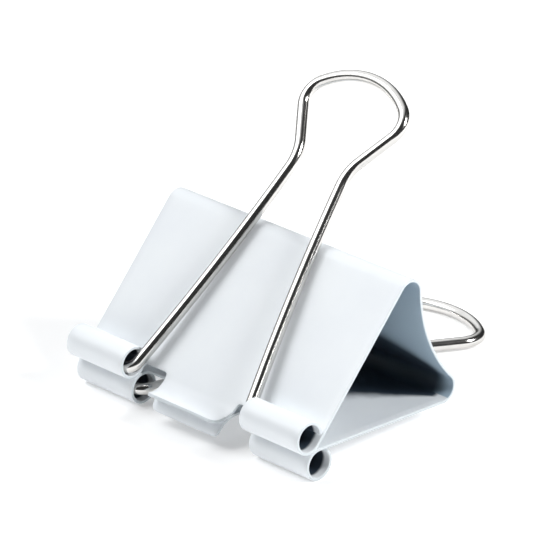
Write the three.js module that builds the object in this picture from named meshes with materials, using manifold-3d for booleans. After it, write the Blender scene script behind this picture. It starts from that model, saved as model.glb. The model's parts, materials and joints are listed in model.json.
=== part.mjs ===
// A large binder clip: one folded strip of spring steel, drawn here as a back and two jaws that
// flex on it, and two bent wire handles whose ends turn in the barrels rolled along the jaws.
// Millimetres, +Z up. X runs along the barrels and Y from the jaws back to the spine.
// The clip lies on its lower barrels and its lower handle, with the floor at Z = 0.
import * as THREE from "three";
import { mergeVertices } from "three/addons/utils/BufferGeometryUtils.js";
import Module from "manifold-3d";

const wasm = await Module();
wasm.setup();

// The sheet
const WIDTH = 51;
const SHEET = 0.5;
const HALF_ANGLE = 25; // degrees between each leg and the plane midway between them
const LEG = 27.4; // along the inner face, from where the two inner faces would cross to the corner
const CORNER_RADIUS = 2.5; // outside of the bend between a leg and the spine
const SPINE_LEAN = 21.4; // lean of the bowed spine where it meets each corner, in degrees
const FLEX_GAP = 0.3; // cut between the spine and each jaw, on the line where the sheet flexes

// The rolled barrels and the lips between them
const BARREL_RADIUS = 2.65;
const BARREL_LENGTH = 12.5;
const BARREL_ROLL = 318; // degrees of roll, leaving a narrow seam against the leg
const LIP_RADIUS = 4.4; // inner face of the lip, which flares away from the other jaw
const LIP_FLARE = 51; // degrees past the plane midway between the legs
const LIP_BASE_HALF_WIDTH = 7.9;
const LIP_EDGE_HALF_WIDTH = 7.1;
const LIP_CORNER = 0.9;
const SLOT_DEPTH = 1.6; // the leg's edge between a lip and a barrel, from the crossing of the legs
const BARREL_SHADOW = 3.6; // how far along the leg its outer face lies under the barrels

// The handles
const WIRE_RADIUS = 0.95;
const CROWN_RADIUS = 14.3;
const CROWN_HALF_ANGLE = 37.6;
const SHOULDER_RADIUS = 3.65;
const FLARE_ANGLE = 30.5; // lean of the straight run between the shoulder and the neck
const FLARE_LENGTH = 6.3;
const NECK_RADIUS = 7.2;
const NECK_LEAN = 7.3; // lean of the leg where it leaves the neck
const FOOT_LEAN = 13.1; // lean of the leg where it reaches the barrel
const HANDLE_LEG = 38.08;
const ELBOW_RADIUS = 2;
const STUB = 6; // straight end that turns in the barrel
const STUB_PLAY = 1.1; // the loose stub lies this far from the barrel's axis, away from the crown

// How the clip lies
const UPPER_HANDLE_ANGLE = 22.7; // above the plane midway between the legs
const LOWER_HANDLE_ANGLE = 23.4; // below it

const WIRE_SIDES = 12;
const ROUND_STEP = 10; // degrees between points along a bend
const CORNER_STEPS = 5; // straight stretches round each corner of a lip
const JOIN = 1; // how far a barrel or a lip runs on into the leg it belongs to

const rad = THREE.MathUtils.degToRad;
const halfAngle = rad(HALF_ANGLE);
const midRadius = (outer) => outer - SHEET / 2;
const tangentRun = (radius) => radius * Math.tan(halfAngle / 2);

// ---- paths made of straight runs and bends -------------------------------------------------

const along = (heading) => new THREE.Vector2(Math.cos(heading), Math.sin(heading));
const leftOf = (heading) => along(heading + Math.PI / 2);
const straight = (length) => ({ length });
const bend = (radius, degrees) => ({ radius, degrees }); // positive degrees turn to the left

// Stations { at, heading } along a path that starts at a point and follows a list of moves.
function stations(at, heading, moves) {
  const list = [{ at: at.clone(), heading }];
  for (const move of moves) {
    const last = list[list.length - 1];
    if (move.length !== undefined) {
      const end = last.at.clone().addScaledVector(along(last.heading), move.length);
      list.push({ at: end, heading: last.heading });
      continue;
    }
    const side = Math.sign(move.degrees);
    const centre = last.at.clone().addScaledVector(leftOf(last.heading), side * move.radius);
    const steps = Math.max(2, Math.ceil(Math.abs(move.degrees) / ROUND_STEP));
    for (let i = 1; i <= steps; i++) {
      const turned = last.heading + (rad(move.degrees) * i) / steps;
      const point = centre.clone().addScaledVector(leftOf(turned), -side * move.radius);
      list.push({ at: point, heading: turned });
    }
  }
  return list;
}

// Outline of a strip of sheet whose middle follows the stations.
function stripShape(path) {
  const edge = (side) =>
    path.map(({ at, heading }) => at.clone().addScaledVector(leftOf(heading), (side * SHEET) / 2));
  return new THREE.Shape([...edge(1), ...edge(-1).reverse()]);
}

// ---- solids --------------------------------------------------------------------------------

// Shape x becomes +Y and shape y becomes +Z, and the extrusion runs along +X.
const SECTION_TO_PART = new THREE.Matrix4().makeBasis(
  new THREE.Vector3(0, 1, 0),
  new THREE.Vector3(0, 0, 1),
  new THREE.Vector3(1, 0, 0),
);

function extrudeAcross(shape, fromX, toX) {
  return new THREE.ExtrudeGeometry(shape, { depth: toX - fromX, bevelEnabled: false })
    .translate(0, 0, fromX)
    .applyMatrix4(SECTION_TO_PART);
}

function toSolid(geometry) {
  const bare = geometry.clone().deleteAttribute("normal").deleteAttribute("uv");
  const merged = mergeVertices(bare, 1e-5);
  return new wasm.Manifold(
    new wasm.Mesh({
      numProp: 3,
      vertProperties: merged.attributes.position.array,
      triVerts: new Uint32Array(merged.index.array),
    }),
  );
}

function toGeometry(solid) {
  const mesh = solid.getMesh();
  const geometry = new THREE.BufferGeometry();
  geometry.setAttribute("position", new THREE.BufferAttribute(mesh.vertProperties, 3));
  geometry.setIndex(new THREE.BufferAttribute(mesh.triVerts, 1));
  geometry.computeVertexNormals();
  return geometry;
}

// ---- the folded sheet, in its own section: x along the middle plane, y out from it ---------

// Point on the middle of the upper leg's sheet, a distance along its inner face.
function onLeg(distance) {
  return along(halfAngle).multiplyScalar(distance).addScaledVector(leftOf(halfAngle), SHEET / 2);
}

const cornerCentre = onLeg(LEG).addScaledVector(leftOf(halfAngle), -midRadius(CORNER_RADIUS));
const gapTurn = THREE.MathUtils.radToDeg(FLEX_GAP / 2 / midRadius(CORNER_RADIUS));

function legSolid() {
  const path = stations(onLeg(SLOT_DEPTH), halfAngle, [
    straight(BARREL_SHADOW - SLOT_DEPTH),
    straight(LEG - BARREL_SHADOW),
    bend(midRadius(CORNER_RADIUS), gapTurn - HALF_ANGLE - 90 - SPINE_LEAN),
  ]);
  return toSolid(extrudeAcross(stripShape(path), -WIDTH / 2, WIDTH / 2));
}

// A strip that starts on the leg, runs forward and bends away from the other jaw.
function curledStrip(innerFaceRadius, degrees) {
  const start = SLOT_DEPTH + JOIN;
  return stations(onLeg(start), halfAngle + Math.PI, [
    straight(start - tangentRun(innerFaceRadius)),
    bend(midRadius(innerFaceRadius), -degrees),
  ]);
}

function barrelSolid(fromX) {
  const shape = stripShape(curledStrip(BARREL_RADIUS, BARREL_ROLL));
  return toSolid(extrudeAcross(shape, fromX, fromX + BARREL_LENGTH));
}

// Seen from above the middle plane, the lip narrows towards its edge and has rounded corners.
function lipOutline() {
  const rootY = SLOT_DEPTH + JOIN + SHEET;
  const edgeY = -tangentRun(LIP_RADIUS) - LIP_RADIUS * Math.sin(rad(LIP_FLARE)) - SHEET;
  const shape = new THREE.Shape();
  shape.moveTo(LIP_BASE_HALF_WIDTH, rootY);
  shape.lineTo(-LIP_BASE_HALF_WIDTH, rootY);
  shape.lineTo(-LIP_EDGE_HALF_WIDTH, edgeY + LIP_CORNER);
  shape.quadraticCurveTo(-LIP_EDGE_HALF_WIDTH, edgeY, LIP_CORNER - LIP_EDGE_HALF_WIDTH, edgeY);
  shape.lineTo(LIP_EDGE_HALF_WIDTH - LIP_CORNER, edgeY);
  shape.quadraticCurveTo(LIP_EDGE_HALF_WIDTH, edgeY, LIP_EDGE_HALF_WIDTH, edgeY + LIP_CORNER);
  return shape;
}

function lipSolid() {
  const shape = stripShape(curledStrip(LIP_RADIUS, HALF_ANGLE + LIP_FLARE));
  const band = extrudeAcross(shape, -LIP_BASE_HALF_WIDTH, LIP_BASE_HALF_WIDTH);
  const cutter = new THREE.ExtrudeGeometry(lipOutline(), {
    depth: 2 * BARREL_RADIUS,
    bevelEnabled: false,
    curveSegments: CORNER_STEPS,
  }).translate(0, 0, -BARREL_RADIUS / 2);
  return toSolid(band).intersect(toSolid(cutter));
}

function jawGeometry() {
  const solid = legSolid()
    .add(barrelSolid(-WIDTH / 2))
    .add(barrelSolid(WIDTH / 2 - BARREL_LENGTH))
    .add(lipSolid());
  return toGeometry(solid);
}

// The spine is an arc that dips in towards the jaws and runs smoothly on into both corners.
function spineGeometry() {
  const reach = cornerCentre.y / Math.sin(rad(SPINE_LEAN));
  const radius = reach - midRadius(CORNER_RADIUS);
  const centre = cornerCentre.clone().addScaledVector(along(-rad(SPINE_LEAN)), reach);
  const sweep = rad(SPINE_LEAN) - FLEX_GAP / 2 / radius;
  const start = centre.clone().addScaledVector(along(Math.PI - sweep), radius);
  const path = stations(start, 1.5 * Math.PI - sweep, [bend(radius, THREE.MathUtils.radToDeg(2 * sweep))]);
  return extrudeAcross(stripShape(path), -WIDTH / 2, WIDTH / 2);
}

// ---- the wire handles ----------------------------------------------------------------------

// A wire whose sections stand at given stations, close together in the bends.
class BentWire extends THREE.Curve {
  constructor(path) {
    super();
    this.path = path;
  }
  station(u) {
    return this.path[Math.round(u * (this.path.length - 1))];
  }
  getPointAt(u) {
    const { at } = this.station(u);
    return new THREE.Vector3(at.x, at.y, 0);
  }
  getTangentAt(u) {
    const direction = along(this.station(u).heading);
    return new THREE.Vector3(direction.x, direction.y, 0);
  }
  getSpacedPoints(divisions) {
    return Array.from({ length: divisions + 1 }, (_, i) => this.getPointAt(i / divisions));
  }
}

// Half of a handle, from the middle of its crown to the end of its stub, in its own plane.
function halfHandlePath() {
  const path = stations(new THREE.Vector2(0, 0), 0, [
    bend(CROWN_RADIUS, -CROWN_HALF_ANGLE),
    bend(SHOULDER_RADIUS, CROWN_HALF_ANGLE - 90 - FLARE_ANGLE),
    straight(FLARE_LENGTH),
    bend(NECK_RADIUS, FLARE_ANGLE + NECK_LEAN),
    bend(HANDLE_LEG / rad(FOOT_LEAN - NECK_LEAN), FOOT_LEAN - NECK_LEAN),
    bend(ELBOW_RADIUS, 90 - FOOT_LEAN),
    straight(STUB),
  ]);
  const stubLevel = path[path.length - 1].at.y;
  for (const station of path) station.at.y -= stubLevel + STUB_PLAY;
  return path;
}

// The whole wire lies in X and Y. The barrel's axis is the X axis, and the crown is towards +Y.
function handleGeometry() {
  const right = halfHandlePath();
  const left = right
    .slice(1)
    .reverse()
    .map(({ at, heading }) => ({ at: new THREE.Vector2(-at.x, at.y), heading: -heading }));
  const path = [...left, ...right];
  const section = new THREE.Shape(
    Array.from({ length: WIRE_SIDES }, (_, i) => along((2 * Math.PI * i) / WIRE_SIDES).multiplyScalar(WIRE_RADIUS)),
  );
  return new THREE.ExtrudeGeometry(section, { steps: path.length - 1, extrudePath: new BentWire(path) });
}

// ---- assembly ------------------------------------------------------------------------------

const PAINT = { color: 0xe9edef, roughness: 0.3, metalness: 0 };
const NICKEL = { color: 0xc9c7c2, roughness: 0.18, metalness: 1 };

function part(name, geometry, look) {
  const mesh = new THREE.Mesh(geometry, new THREE.MeshStandardMaterial(look));
  mesh.name = name;
  return mesh;
}

// A handle on its barrel's axis, turned about X from the middle plane.
function handleOn(barrelAxis, name, degrees) {
  const hinge = new THREE.Group();
  hinge.position.set(0, barrelAxis.x, barrelAxis.y);
  hinge.rotation.x = rad(degrees);
  hinge.add(part(name, handleGeometry(), NICKEL));
  return hinge;
}

const upperBarrelAxis = new THREE.Vector2(-tangentRun(BARREL_RADIUS), BARREL_RADIUS);
const lowerBarrelAxis = new THREE.Vector2(upperBarrelAxis.x, -upperBarrelAxis.y);

const clip = new THREE.Group();
clip.add(part("spine_plate", spineGeometry(), PAINT));
clip.add(part("upper_jaw", jawGeometry(), PAINT));
const lowerJaw = part("lower_jaw", jawGeometry(), PAINT);
lowerJaw.rotation.y = Math.PI;
clip.add(lowerJaw);
clip.add(handleOn(upperBarrelAxis, "upper_handle", UPPER_HANDLE_ANGLE));
clip.add(handleOn(lowerBarrelAxis, "lower_handle", -LOWER_HANDLE_ANGLE));

// Laid down so that the lower barrels and the lower handle's crown all touch the floor.
const handleReach = halfHandlePath()[0].at.y;
const handleDip = Math.asin((BARREL_RADIUS - WIRE_RADIUS) / handleReach);
clip.rotation.x = rad(LOWER_HANDLE_ANGLE) - handleDip;
clip.updateMatrixWorld(true);
const box = new THREE.Box3().setFromObject(clip, true);
clip.position.set(0, -(box.min.y + box.max.y) / 2, -box.min.z);

const group = new THREE.Group();
group.add(clip);
export default group;
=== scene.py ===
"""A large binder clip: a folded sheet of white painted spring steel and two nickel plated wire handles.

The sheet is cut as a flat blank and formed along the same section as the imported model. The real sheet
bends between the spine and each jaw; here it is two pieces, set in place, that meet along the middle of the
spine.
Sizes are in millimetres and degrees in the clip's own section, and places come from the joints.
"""

import json
import math

import bmesh
import bpy
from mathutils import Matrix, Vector


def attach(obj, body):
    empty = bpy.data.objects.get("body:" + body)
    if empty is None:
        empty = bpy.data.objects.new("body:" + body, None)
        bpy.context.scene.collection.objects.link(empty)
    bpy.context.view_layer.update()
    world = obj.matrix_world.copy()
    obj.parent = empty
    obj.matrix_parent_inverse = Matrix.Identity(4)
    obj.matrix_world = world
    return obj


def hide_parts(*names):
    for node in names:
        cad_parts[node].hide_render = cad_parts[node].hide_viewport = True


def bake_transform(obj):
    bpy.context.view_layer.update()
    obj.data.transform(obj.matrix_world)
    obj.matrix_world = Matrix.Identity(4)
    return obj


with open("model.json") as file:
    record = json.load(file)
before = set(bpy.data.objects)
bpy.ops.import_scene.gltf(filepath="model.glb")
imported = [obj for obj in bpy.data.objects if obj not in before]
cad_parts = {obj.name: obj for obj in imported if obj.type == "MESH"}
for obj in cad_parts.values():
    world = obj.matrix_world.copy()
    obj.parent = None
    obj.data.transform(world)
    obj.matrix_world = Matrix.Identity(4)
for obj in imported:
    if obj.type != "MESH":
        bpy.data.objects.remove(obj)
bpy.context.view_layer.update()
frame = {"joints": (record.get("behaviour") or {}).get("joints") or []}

MM = 0.001

# The sheet
WIDTH = 51
SHEET = 0.5
HALF_ANGLE = 25
LEG = 27.4
CORNER_RADIUS = 2.5
SPINE_LEAN = 21.4

# The rolled barrels and the lips between them
BARREL_RADIUS = 2.65
BARREL_LENGTH = 12.5
BARREL_ROLL = 318
LIP_RADIUS = 4.4
LIP_FLARE = 51
LIP_BASE_HALF_WIDTH = 7.9
LIP_EDGE_HALF_WIDTH = 7.1
LIP_CORNER = 0.9
SLOT_DEPTH = 1.6
SLOT_FILLET = 0.6
MOUTH = WIDTH / 2 - BARREL_LENGTH
SLOT_MIDDLE = (LIP_BASE_HALF_WIDTH + MOUTH) / 2
EDGE_ROUNDING = 0.11

# How far in from the open ends of the clip and of its barrels the faces stay white: in the barrels' bores the
# dark beyond is painted shade, inside the clip it is partly bare steel and partly painted shade
LEAST_REACH = 2.2  # in the lower corner
FULL_REACH = 16  # this much more, at SPINE_WHITE_RISE above the lower corner
SPINE_WHITE_RISE = 8.5
# painted shade in the barrels' bores, which darken this far in from each mouth
BORE_SHADE_REACH = 1.3
BARREL_SHADOW = 2.6  # along the leg, whose outer face is also the floor of the barrel's bore

# The stretch of sheet that bends when the jaws open, as millimetres before and past a corner
FLEX_BEFORE = 2.5
FLEX_AFTER = 2.0

# The handles
WIRE_RADIUS = 0.95
CROWN_RADIUS = 14.3
CROWN_HALF_ANGLE = 37.6
SHOULDER_RADIUS = 3.65
FLARE_ANGLE = 30.5
FLARE_LENGTH = 6.3
NECK_RADIUS = 7.2
NECK_LEAN = 7.3
FOOT_LEAN = 13.1
HANDLE_LEG = 38.08
ELBOW_RADIUS = 2
STUB = 6
STUB_PLAY = 1.1  # the loose stub lies this far from the barrel's axis, away from the crown
STUB_CHAMFER = 0.22
WIRE_SIDES = 32
UPPER_HANDLE_ANGLE = 22.7
LOWER_HANDLE_ANGLE = 23.4

# How finely the shapes are drawn: at most this many (degrees, millimetres) from row to row
LEG_STEPS = (3, 0.6)
BARREL_STEPS = (4, 0.5)
LIP_STEPS = (3, 0.5)
WIRE_STEPS = (3, 1.5)

# The camera, from a fit of the sizes above to the view that is wanted
CAMERA_AIM = Vector((1.644, 15.000, 16.211))  # from the section's origin
CAMERA_AZIMUTH = 46.03
CAMERA_ELEVATION = 24.564
CAMERA_ROLL = -1.2
CAMERA_DISTANCE = 784.5
LENS = 335.09
SENSOR = 36


def in_scene(name, data):
    thing = bpy.data.objects.new(name, data)
    bpy.context.scene.collection.objects.link(thing)
    return thing


# ---- routes made of straight runs and bends -----------------------------------------------------

def along(heading):
    return Vector((math.cos(heading), math.sin(heading)))


def left_of(heading):
    return along(heading + math.pi / 2)


def run(length):
    return length, 0.0


def bend(radius, degrees):
    """Positive degrees turn to the left."""
    turn = math.radians(degrees)
    return radius * abs(turn), turn


class Route:
    """A smooth line in a plane, measured by the distance along it."""

    def __init__(self, start, heading, moves):
        self.pieces = []
        self.length = 0.0
        point = start.copy()
        for length, turn in moves:
            self.pieces.append((self.length, length, turn, point.copy(), heading))
            point, heading = self._step(length, turn, point, heading, length)
            self.length += length

    @staticmethod
    def _step(length, turn, point, heading, distance):
        if turn == 0:
            return point + along(heading) * distance, heading
        radius = length / turn
        turned = heading + turn * distance / length
        centre = point + left_of(heading) * radius
        return centre - left_of(turned) * radius, turned

    def at(self, distance):
        """The point and heading a distance along the route, carried straight on past its ends."""
        for begin, length, turn, point, heading in self.pieces:
            if distance <= begin + length:
                break
        past = distance - begin
        if past < 0:
            return point + along(heading) * past, heading
        if past > length:
            end, heading = self._step(length, turn, point, heading, length)
            return end + along(heading) * (past - length), heading
        return self._step(length, turn, point, heading, past)

    def stations(self, start, end, step_degrees, step_length):
        """Distances from start to end, with a step no longer than either limit."""
        marks = [start]
        for begin, length, turn, _, _ in self.pieces:
            low = max(begin, start)
            high = min(begin + length, end)
            if high - low < 1e-6:
                continue
            share = (high - low) / length
            steps = math.ceil(max(abs(math.degrees(turn)) * share / step_degrees, (high - low) / step_length))
            marks += [low + (high - low) * i / steps for i in range(1, steps + 1)]
        return marks


# ---- the clip's section: x along its middle plane towards the spine, y out towards the upper leg --

half_angle = math.radians(HALF_ANGLE)
spine_lean = math.radians(SPINE_LEAN)
mid_corner = CORNER_RADIUS - SHEET / 2
mid_barrel = BARREL_RADIUS - SHEET / 2
mid_lip = LIP_RADIUS - SHEET / 2
barrel_run = BARREL_RADIUS * math.tan(half_angle / 2)
lip_run = LIP_RADIUS * math.tan(half_angle / 2)


def on_leg(distance):
    return along(half_angle) * distance + left_of(half_angle) * SHEET / 2


corner_centre = on_leg(LEG) - left_of(half_angle) * mid_corner
spine_reach = corner_centre.y / math.sin(spine_lean)
spine_radius = spine_reach - mid_corner
spine_centre = corner_centre + along(-spine_lean) * spine_reach
spine_middle = spine_centre - Vector((spine_radius, 0))

CORNER_TURN = HALF_ANGLE + 90 + SPINE_LEAN
TO_CORNER = [bend(spine_radius, -SPINE_LEAN), bend(mid_corner, CORNER_TURN)]
CORNER_START, CORNER_ARC = (length for length, _ in TO_CORNER)
LEG_START = CORNER_START + CORNER_ARC
# the painted shade on the inside of the spine ends here, a millimetre before the leg
SPINE_SHADE_END = LEG_START - 1


def front_route(run_left, radius, degrees):
    moves = TO_CORNER + [run(LEG - run_left), bend(radius, -degrees)]
    return Route(spine_middle, math.pi / 2, moves)


barrel_route = front_route(barrel_run, mid_barrel, BARREL_ROLL)
lip_route = front_route(lip_run, mid_lip, HALF_ANGLE + LIP_FLARE)
SLOT_START = LEG_START + LEG - SLOT_DEPTH

axis_at = {joint["name"]: Vector(joint["pos_m"]) for joint in frame["joints"]}
OUT = (axis_at["upper_handle_swing"] - axis_at["lower_handle_swing"]).normalized()
BACK = Vector((0, OUT.z, -OUT.y))
ACROSS = Vector((1, 0, 0))
between_barrels = (axis_at["upper_handle_swing"] + axis_at["lower_handle_swing"]) / 2
SECTION_ORIGIN = between_barrels + BACK * barrel_run * MM


def in_section(x, point, side=1):
    """A place in the frame, in metres. Side is 1 for the upper jaw and -1 for the lower one."""
    return SECTION_ORIGIN + (ACROSS * x + BACK * point.x + OUT * point.y * side) * MM


# ---- the flat blank -----------------------------------------------------------------------------

def evenly(start, end, count):
    return [start + (end - start) * i / count for i in range(count + 1)]


def fillet(depth, radius):
    """How far a rounded corner has opened at a depth below its start."""
    rest = radius - min(depth, radius)
    return math.sqrt(radius * radius - rest * rest)


def mouth_at(distance):
    """Where the barrel starts across the clip, with a rounded corner at the bottom of the slot."""
    return MOUTH - SLOT_FILLET + fillet(distance - SLOT_START, SLOT_FILLET)


def lip_half_width_at(distance):
    past = distance - SLOT_START
    share = past / (lip_route.length - SLOT_START)
    width = LIP_BASE_HALF_WIDTH + (LIP_EDGE_HALF_WIDTH - LIP_BASE_HALF_WIDTH) * share
    root = SLOT_FILLET - fillet(past, SLOT_FILLET)
    tip = LIP_CORNER - fillet(lip_route.length - distance, LIP_CORNER)
    return width + root - tip


def rounded_marks(start, radius, towards):
    """Distances that follow a rounded corner closely."""
    steps = 8
    return [start + towards * radius * (1 - math.cos(math.pi / 2 * i / steps)) for i in range(1, steps + 1)]


def merged(marks, spacing=0.01):
    kept = []
    for mark in sorted(marks):
        if not kept or mark - kept[-1] > spacing:
            kept.append(mark)
    return kept


class Blank:
    """The flat sheet as a grid of quads in x and distance from the middle of the spine."""

    def __init__(self):
        self.mesh = bmesh.new()
        self.known = {}

    def vertex(self, x, distance):
        key = round(x, 4), round(distance, 4)
        if key not in self.known:
            self.known[key] = self.mesh.verts.new((x, distance, 0))
        return self.known[key]

    def patch(self, distances, columns_at):
        rows = [[self.vertex(x, distance) for x in columns_at(distance)] for distance in distances]
        for near, far in zip(rows, rows[1:]):
            for i in range(len(near) - 1):
                self.mesh.faces.new((near[i], near[i + 1], far[i + 1], far[i]))


BARREL_COLUMNS = 8
LIP_COLUMNS = 14
SLOT_COLUMNS = 3


def barrel_columns(distance):
    return evenly(mouth_at(distance), WIDTH / 2, BARREL_COLUMNS)


def left_barrel_columns(distance):
    return [-x for x in reversed(barrel_columns(distance))]


def lip_columns(distance):
    half = lip_half_width_at(distance)
    return evenly(-half, half, LIP_COLUMNS)


def leg_columns(_):
    half = lip_half_width_at(SLOT_START)
    slot = evenly(half, mouth_at(SLOT_START), SLOT_COLUMNS)[1:-1]
    left_slot = [-x for x in reversed(slot)]
    middle = lip_columns(SLOT_START)
    return left_barrel_columns(SLOT_START) + left_slot + middle + slot + barrel_columns(SLOT_START)


def flat_blank():
    blank = Blank()
    blank.patch(barrel_route.stations(0, SLOT_START, *LEG_STEPS), leg_columns)
    fillet_marks = rounded_marks(SLOT_START, SLOT_FILLET, 1)
    roll_marks = barrel_route.stations(SLOT_START, barrel_route.length, *BARREL_STEPS)
    barrel_marks = merged(fillet_marks + roll_marks)
    blank.patch(barrel_marks, barrel_columns)
    blank.patch(barrel_marks, left_barrel_columns)
    tip_marks = rounded_marks(lip_route.length, LIP_CORNER, -1)
    lip_marks = lip_route.stations(SLOT_START, lip_route.length, *LIP_STEPS)
    blank.patch(merged(fillet_marks + tip_marks + lip_marks), lip_columns)
    return blank.mesh


def edge_profile():
    """(how far in from the cut edge, height) of points round the rounded edge, from top to bottom."""
    half = SHEET / 2
    soft = EDGE_ROUNDING * (1 - math.sqrt(0.5))
    top = [(EDGE_ROUNDING, half), (soft, half - soft), (0, half - EDGE_ROUNDING)]
    return top + [(inset, -height) for inset, height in reversed(top)]


def outline_loops(mesh):
    """Chains of the blank's outline, which the seam along the spine leaves open at both ends."""
    open_edges = [e for e in mesh.edges if e.is_boundary and not is_seam(e)]
    beside = {}
    for edge in open_edges:
        for vertex in edge.verts:
            beside.setdefault(vertex, []).append(edge)
    start = min((v for v in beside if len(beside[v]) == 1), key=lambda v: v.co.x)
    chain = [start]
    edge = beside[start][0]
    while True:
        vertex = edge.other_vert(chain[-1])
        chain.append(vertex)
        following = [e for e in beside[vertex] if e is not edge]
        if not following:
            return chain
        edge = following[0]


def is_seam(edge):
    return all(abs(v.co.y) < 1e-6 for v in edge.verts)


def inward_directions(chain):
    """For each point of the outline, the flat direction into the sheet, scaled to keep the inset even."""
    inward = []
    for i, vertex in enumerate(chain):
        before = chain[max(i - 1, 0)].co
        after = chain[min(i + 1, len(chain) - 1)].co
        arriving = (vertex.co - before).normalized() if i else (after - vertex.co).normalized()
        leaving = (after - vertex.co).normalized() if i < len(chain) - 1 else arriving
        normals = [Vector((-d.y, d.x, 0)) for d in (arriving, leaving)]
        middle = (normals[0] + normals[1]).normalized()
        inward.append(middle / max(0.5, middle.dot(normals[0])))
    face = chain[1].link_faces[0]
    towards = face.calc_center_median() - chain[1].co
    if inward[1].dot(towards) < 0:
        inward = [-d for d in inward]
    return inward


# ---- forming ------------------------------------------------------------------------------------

def formed(flat, side):
    """Where a point of the thick blank goes: x across, y along the route, z out from its middle."""
    route = barrel_route if abs(flat.x) > SLOT_MIDDLE else lip_route
    point, heading = route.at(flat.y)
    return in_section(flat.x, point - left_of(heading) * flat.z, side)


def white_reach(distance, side):
    """How far in from the open ends the inner faces stay white, at a distance along the route: partly how far
    the paint reached, partly painted shade, least at the lower corner and where each leg leaves its corner.
    """
    if distance > LEG_START:
        return LEAST_REACH + distance - LEG_START
    if side > 0:
        return FULL_REACH
    above_corner = max(0.0, CORNER_START + CORNER_ARC / 4 - distance)
    return LEAST_REACH + FULL_REACH * (above_corner / SPINE_WHITE_RISE) ** 3


def bareness_and_shade(flat, side):
    """Below 0 where a face stays white all over, 1 where the white gives out, more where it is dark: bare
    steel and painted shade inside the clip, painted shade in the barrels' bores.
    """
    from_side = WIDTH / 2 - abs(flat.x)
    from_leg_front = LEG_START + LEG - flat.y
    under_barrel = abs(flat.x) > SLOT_MIDDLE and from_leg_front < BARREL_SHADOW
    # painted shade on the outer face inside the barrels' bores and on the leg under them, darkening in from
    # the mouths
    if flat.z > 0:
        from_mouth = min(from_side, abs(flat.x) - MOUTH)
        return from_mouth / BORE_SHADE_REACH if under_barrel and from_mouth > 0 else -1.0
    if under_barrel and from_leg_front < 0:
        return -1.0
    # inside the clip the faces darken from the open ends inward, partly bare steel and partly painted shade
    return from_side / white_reach(flat.y, side)


def thick_sheet(flat_mesh):
    """The blank given its thickness and rounded edges, still flat."""
    chain = outline_loops(flat_mesh)
    inward = dict(zip(chain, inward_directions(chain)))
    solid = bmesh.new()

    def place(vertex, inset, height):
        shift = inward[vertex] * inset if vertex in inward else Vector()
        return solid.verts.new((vertex.co.x + shift.x, vertex.co.y + shift.y, height))

    half = SHEET / 2
    top = {v: place(v, EDGE_ROUNDING, half) for v in flat_mesh.verts}
    bottom = {v: place(v, EDGE_ROUNDING, -half) for v in flat_mesh.verts}
    for face in flat_mesh.faces:
        solid.faces.new([top[v] for v in face.verts])
        solid.faces.new([bottom[v] for v in reversed(face.verts)])
    rims = []
    for vertex in chain:
        middle = [place(vertex, inset, height) for inset, height in edge_profile()[1:-1]]
        rims.append([top[vertex]] + middle + [bottom[vertex]])
    for near, far in zip(rims, rims[1:]):
        for i in range(len(near) - 1):
            solid.faces.new((near[i], near[i + 1], far[i + 1], far[i]))
    seam = sorted((v for v in flat_mesh.verts if abs(v.co.y) < 1e-6), key=lambda v: v.co.x)
    cap = [top[v] for v in seam] + rims[-1][1:-1] + [bottom[v] for v in reversed(seam)] + rims[0][-2:0:-1]
    seam_face = solid.faces.new(cap)
    for face in solid.faces:
        face.smooth = True
    for edge in seam_face.edges:
        edge.smooth = False
    return solid


def form(mesh, side):
    """Bends the flat sheet, and keeps what its paint needs to know as attributes."""
    flats = [v.co.copy() for v in mesh.vertices]
    patterns = {"blank": "FLOAT_VECTOR", "bareness_and_shade": "FLOAT", "spine_inside": "FLOAT"}
    for pattern, kind in patterns.items():
        mesh.attributes.new(pattern, kind, "POINT")
    blank, bare_and_shaded, spine = (mesh.attributes[pattern].data for pattern in patterns)
    for i, flat in enumerate(flats):
        blank[i].vector = (flat.x, flat.y * side, flat.z)
        bare_and_shaded[i].value = bareness_and_shade(flat, side)
        spine[i].value = 1.0 if flat.z < 0 and flat.y < SPINE_SHADE_END else 0.0
        mesh.vertices[i].co = formed(flat, side)


def face_outward(mesh):
    faces = bmesh.new()
    faces.from_mesh(mesh)
    bmesh.ops.recalc_face_normals(faces, faces=faces.faces)
    faces.to_mesh(mesh)
    faces.free()


def sheet_piece(name, side, material):
    solid = thick_sheet(flat_blank())
    mesh = bpy.data.meshes.new(name)
    solid.to_mesh(mesh)
    solid.free()
    form(mesh, side)
    face_outward(mesh)
    mesh.materials.append(material)
    return in_scene(name, mesh)


# ---- the wire handles ---------------------------------------------------------------------------

def handle_half():
    """From the middle of the crown to the end of the stub."""
    return Route(Vector((0, 0)), 0, [
        bend(CROWN_RADIUS, -CROWN_HALF_ANGLE),
        bend(SHOULDER_RADIUS, CROWN_HALF_ANGLE - 90 - FLARE_ANGLE),
        run(FLARE_LENGTH),
        bend(NECK_RADIUS, FLARE_ANGLE + NECK_LEAN),
        bend(HANDLE_LEG / math.radians(FOOT_LEAN - NECK_LEAN), FOOT_LEAN - NECK_LEAN),
        bend(ELBOW_RADIUS, 90 - FOOT_LEAN),
        run(STUB),
    ])


def stub_end(point, heading, distance):
    """Rings that round off the end of a stub."""
    rings = []
    for degrees in (30, 60, 90):
        turn = math.radians(degrees)
        back = STUB_CHAMFER * (1 - math.sin(turn))
        shrink = STUB_CHAMFER * (1 - math.cos(turn))
        rings.append((point - along(heading) * back, heading, WIRE_RADIUS - shrink, distance))
    return rings


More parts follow.
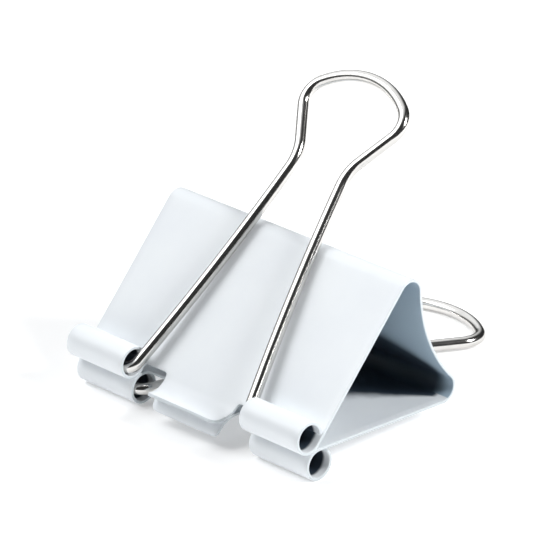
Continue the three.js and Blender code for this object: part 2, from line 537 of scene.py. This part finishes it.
def wire_rings():
    """(centre, heading, radius, distance) of each ring of the wire, from one stub to the other."""
    route = handle_half()
    half = []
    for distance in route.stations(0, route.length - STUB_CHAMFER, *WIRE_STEPS):
        point, heading = route.at(distance)
        half.append((point, heading, WIRE_RADIUS, distance))
    half += stub_end(*route.at(route.length), route.length)
    axis = Vector((0, route.at(route.length)[0].y + STUB_PLAY))
    right = [(point - axis, heading, radius, distance) for point, heading, radius, distance in half]
    left = [(Vector((-p.x, p.y)), -heading, radius, -distance) for p, heading, radius, distance in right[1:]]
    return left[::-1] + right


def wire_tube(place_in):
    """A closed tube through the rings, put where place_in says from the wire's own plane."""
    tube = bmesh.new()
    along_wire = tube.verts.layers.float_vector.new("wire")
    rings = []
    for centre, heading, radius, distance in wire_rings():
        ring = []
        for i in range(WIRE_SIDES):
            turn = 2 * math.pi * i / WIRE_SIDES
            flat = centre + left_of(heading) * radius * math.cos(turn)
            vertex = tube.verts.new(place_in(flat, radius * math.sin(turn)))
            vertex[along_wire] = (distance, math.cos(turn), math.sin(turn))
            ring.append(vertex)
        rings.append(ring)
    for near, far in zip(rings, rings[1:]):
        for i in range(WIRE_SIDES):
            j = (i + 1) % WIRE_SIDES
            tube.faces.new((near[i], near[j], far[j], far[i]))
    for face in tube.faces:
        face.smooth = True
    for ring in (rings[0], rings[-1]):
        cap = tube.faces.new(ring)
        for edge in cap.edges:
            edge.smooth = False
    return tube


def handle_piece(name, joint, angle, side, material):
    lean = math.radians(angle)
    reach = BACK * math.cos(lean) + OUT * math.sin(lean) * side
    lift = ACROSS.cross(reach)

    def place_in(flat, height):
        return axis_at[joint] + (ACROSS * flat.x + reach * flat.y + lift * height) * MM

    tube = wire_tube(place_in)
    mesh = bpy.data.meshes.new(name)
    tube.to_mesh(mesh)
    tube.free()
    face_outward(mesh)
    mesh.materials.append(material)
    return in_scene(name, mesh)


# ---- materials ----------------------------------------------------------------------------------

class Nodes:
    """Small helpers for the node tree of a material or a world."""

    def __init__(self, owner):
        self.owner = owner
        owner.use_nodes = True
        self.tree = owner.node_tree

    def feed(self, socket, source):
        """Source is another node's output or a constant."""
        if isinstance(source, bpy.types.NodeSocket):
            self.tree.links.new(source, socket)
        else:
            socket.default_value = source

    def add(self, kind, sources=None, **values):
        node = self.tree.nodes.new(kind)
        for key, value in values.items():
            setattr(node, key, value)
        for socket, source in (sources or {}).items():
            self.feed(node.inputs[socket], source)
        return node

    def attribute(self, name):
        return self.add("ShaderNodeAttribute", attribute_name=name)

    def stretched(self, vector, scale):
        return self.add("ShaderNodeVectorMath", {0: vector, 1: scale}, operation="MULTIPLY").outputs[0]

    def noise(self, vector, scale, detail=2.0, roughness=0.5):
        sources = {"Vector": vector, "Scale": scale, "Detail": detail, "Roughness": roughness}
        return self.add("ShaderNodeTexNoise", sources).outputs["Fac"]

    def ranged(self, value, low, high, to_low, to_high, smooth=False):
        sources = {"Value": value, "From Min": low, "From Max": high, "To Min": to_low, "To Max": to_high}
        kind = "SMOOTHSTEP" if smooth else "LINEAR"
        return self.add("ShaderNodeMapRange", sources, interpolation_type=kind).outputs["Result"]

    def math(self, operation, a, b):
        return self.add("ShaderNodeMath", {0: a, 1: b}, operation=operation).outputs[0]

    def mixed(self, factor, first, second):
        return self.add("ShaderNodeMix", {0: factor, 6: first, 7: second}, data_type="RGBA").outputs[2]

    def bump(self, height, strength, distance):
        sources = {"Height": height, "Strength": strength, "Distance": distance}
        return self.add("ShaderNodeBump", sources).outputs["Normal"]

    def set(self, shader, **sockets):
        """Socket names have _ in place of spaces."""
        for name, source in sockets.items():
            self.feed(self.tree.nodes[shader].inputs[name.replace("_", " ")], source)


WHITE = (0.80, 0.835, 0.86, 1)
COOL_WHITE = (0.77, 0.805, 0.838, 1)
# painted shade: the white paint made darker and bluer, as if in shade, on the inside of the spine
SPINE_SHADE_COLOUR = (0.38, 0.49, 0.58, 1)  # on the inside of the spine
# painted shade: the cut edges coloured darker than the faces, so they catch less light
EDGE_SHADE = (0.62, 0.67, 0.70, 1)  # round the cut edges
# blue-black: partly bare steel deep inside the clip, partly painted shade there and in the barrels' bores
BARE_STEEL_AND_SHADE = (0.030, 0.045, 0.066, 1)
NICKEL = (0.70, 0.687, 0.668, 1)
CLOUDED_NICKEL = (0.61, 0.597, 0.578, 1)
EDGE_TOP = SHEET / 2 - EDGE_ROUNDING * (1 - math.sqrt(0.5))  # height where the rounded edge ends


def painted_steel():
    """White paint with a faint orange peel, darkening to blue-black deep inside the clip, partly as bare
    steel and partly as painted shade; painted shade also in the barrels' bores, on the inside of the spine
    and on the cut edges.
    """
    nodes = Nodes(bpy.data.materials.new("white_painted_spring_steel"))
    place = nodes.attribute("blank").outputs["Vector"]
    clouds = nodes.noise(place, 0.09, 3.0)
    paint = nodes.mixed(nodes.ranged(clouds, 0.35, 0.65, 0, 1), WHITE, COOL_WHITE)
    bare_and_shaded = nodes.attribute("bareness_and_shade").outputs["Fac"]
    ragged = nodes.math("ADD", bare_and_shaded, nodes.ranged(nodes.noise(place, 0.35, 4.0), 0, 1, -0.12, 0.12))
    spine = nodes.attribute("spine_inside").outputs["Fac"]
    # painted shade on the inside of the spine
    spine_shaded = nodes.mixed(spine, paint, SPINE_SHADE_COLOUR)
    # the spine's inside also darkens over a wider span, which is painted shade too
    fades_from = nodes.ranged(spine, 0, 1, 0.72, 0.3)
    fades_to = nodes.ranged(spine, 0, 1, 1.25, 1.7)
    faded = nodes.ranged(ragged, fades_from, fades_to, 0, 1, True)
    # the dark inside: partly bare steel, partly painted shade
    face = nodes.mixed(faded, spine_shaded, BARE_STEEL_AND_SHADE)
    height = nodes.math("ABSOLUTE", nodes.add("ShaderNodeSeparateXYZ", {"Vector": place}).outputs["Z"], 0)
    # painted shade round the cut edges
    colour = nodes.mixed(nodes.ranged(height, EDGE_TOP - 0.03, EDGE_TOP, 1, 0), face, EDGE_SHADE)
    peel = nodes.noise(place, 1.6, 2.0)
    grain = nodes.noise(place, 9.0, 2.0)
    surface = nodes.math("ADD", peel, nodes.math("MULTIPLY", grain, 0.12))
    nodes.set(
        "Principled BSDF",
        Base_Color=colour,
        Roughness=nodes.ranged(grain, 0.3, 0.7, 0.40, 0.50),
        Coat_Weight=0.10,
        Coat_Roughness=0.20,
        Normal=nodes.bump(surface, 0.25, 0.00003),
    )
    return nodes.owner


def bright_nickel():
    """Drawn wire with a nickel plate: fine lines along the wire and slightly cloudy gloss."""
    nodes = Nodes(bpy.data.materials.new("bright_nickel_wire"))
    place = nodes.attribute("wire").outputs["Vector"]
    lines = nodes.noise(nodes.stretched(place, (0.25, 9.0, 9.0)), 2.0, 4.0, 0.6)
    clouds = nodes.noise(nodes.stretched(place, (0.3, 0.8, 0.8)), 1.0, 2.0)
    colour = nodes.mixed(nodes.ranged(clouds, 0.3, 0.7, 0, 1), NICKEL, CLOUDED_NICKEL)
    nodes.set(
        "Principled BSDF",
        Base_Color=colour,
        Metallic=1.0,
        Roughness=nodes.ranged(lines, 0.3, 0.7, 0.10, 0.20),
        Normal=nodes.bump(lines, 0.12, 0.00002),
    )
    return nodes.owner


# ---- the pieces, with the handles on their bodies -------------------------------------------------

def blend_ends(side):
    """The stretch that bends, from the spine just before its corner to the leg just past it."""
    start, _ = barrel_route.at(CORNER_START - FLEX_BEFORE)
    end, _ = barrel_route.at(LEG_START + FLEX_AFTER)
    return in_section(0, start, side), in_section(0, end, side)


paint = painted_steel()
nickel = bright_nickel()

for name, jaw, side, replaced in (
    ("upper_sheet", "upper_jaw", 1, ("upper_jaw", "spine_plate")),
    ("lower_sheet", "lower_jaw", -1, ("lower_jaw",)),
):
    sheet = sheet_piece(name, side, paint)
    bend_start, bend_end = blend_ends(side)
    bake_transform(sheet)
    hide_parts(*replaced)

for name, angle, side in (("upper_handle", UPPER_HANDLE_ANGLE, 1), ("lower_handle", LOWER_HANDLE_ANGLE, -1)):
    wire = handle_piece(name + "_wire", name + "_swing", angle, side, nickel)
    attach(wire, name)
    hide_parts(name)


# ---- stage, light and camera ----------------------------------------------------------------------

CEILING_CENTRE = (-0.72, -0.05, 0.69)
CEILING = 1.3
WALLS = 0.04
LIGHTS_AIM = Vector((0, 0, 0.01))


def pale_floor():
    """White paper that glows more with distance, so that it meets the white background."""
    mesh = bpy.data.meshes.new("floor")
    floor = bmesh.new()
    bmesh.ops.create_grid(floor, x_segments=1, y_segments=1, size=1.5)
    floor.to_mesh(mesh)
    floor.free()
    nodes = Nodes(bpy.data.materials.new("pale_floor"))
    place = nodes.add("ShaderNodeTexCoord").outputs["Object"]
    away = nodes.add("ShaderNodeVectorMath", {0: place}, operation="LENGTH").outputs["Value"]
    glow = nodes.ranged(away, 0.15, 0.9, 0.22, 0.9)
    nodes.set("Principled BSDF", Base_Color=(0.93, 0.93, 0.93, 1), Roughness=0.9)
    nodes.set("Principled BSDF", Emission_Color=(1, 1, 1, 1), Emission_Strength=glow)
    mesh.materials.append(nodes.owner)
    in_scene("floor", mesh)


def studio_dome():
    """A bright ceiling that leans to the left over dark walls, which polished wire mirrors as bands."""
    world = bpy.data.worlds.new("studio")
    bpy.context.scene.world = world
    nodes = Nodes(world)
    place = nodes.add("ShaderNodeTexCoord").outputs["Generated"]
    height = nodes.add("ShaderNodeSeparateXYZ", {"Vector": place}).outputs["Z"]
    facing = nodes.add("ShaderNodeVectorMath", {0: place, 1: CEILING_CENTRE}, operation="DOT_PRODUCT")
    above = nodes.ranged(height, 0.15, 0.45, 0, 1, True)
    overhead = nodes.ranged(facing.outputs["Value"], 0.45, 0.85, 0, 1, True)
    strength = nodes.ranged(nodes.math("MULTIPLY", above, overhead), 0, 1, WALLS, CEILING)
    seen = nodes.add("ShaderNodeLightPath").outputs["Is Camera Ray"]
    nodes.set("Background", Strength=nodes.math("MAXIMUM", strength, seen), Color=(0.97, 0.985, 1.0, 1))


def soft_light(name, place, size, watts):
    data = bpy.data.lights.new(name, "AREA")
    data.shape = "DISK"
    data.size = size
    data.energy = watts
    lamp = in_scene(name, data)
    lamp.location = place
    lamp.rotation_euler = (LIGHTS_AIM - Vector(place)).to_track_quat("-Z", "Y").to_euler()


def photo_camera():
    azimuth = math.radians(CAMERA_AZIMUTH)
    elevation = math.radians(CAMERA_ELEVATION)
    away = Vector((
        math.sin(azimuth) * math.cos(elevation),
        -math.cos(azimuth) * math.cos(elevation),
        math.sin(elevation),
    ))
    camera = in_scene("camera", bpy.data.cameras.new("camera"))
    camera.data.lens = LENS
    camera.data.sensor_width = SENSOR
    camera.data.clip_start = 0.01
    camera.data.clip_end = 20
    camera.location = SECTION_ORIGIN + (CAMERA_AIM + away * CAMERA_DISTANCE) * MM
    look = (-away).to_track_quat("-Z", "Y").to_matrix()
    right = look.col[0].copy()
    up = look.col[1].copy()
    roll = math.radians(CAMERA_ROLL)
    look.col[0] = right * math.cos(roll) + up * math.sin(roll)
    look.col[1] = up * math.cos(roll) - right * math.sin(roll)
    camera.rotation_euler = look.to_euler()
    bpy.context.scene.camera = camera


pale_floor()
studio_dome()
soft_light("key_light", (-0.42, -0.40, 0.75), 0.55, 3.2)
soft_light("side_light", (0.62, 0.25, 0.50), 0.30, 6.2)
photo_camera()
bpy.context.scene.view_settings.view_transform = "Standard"
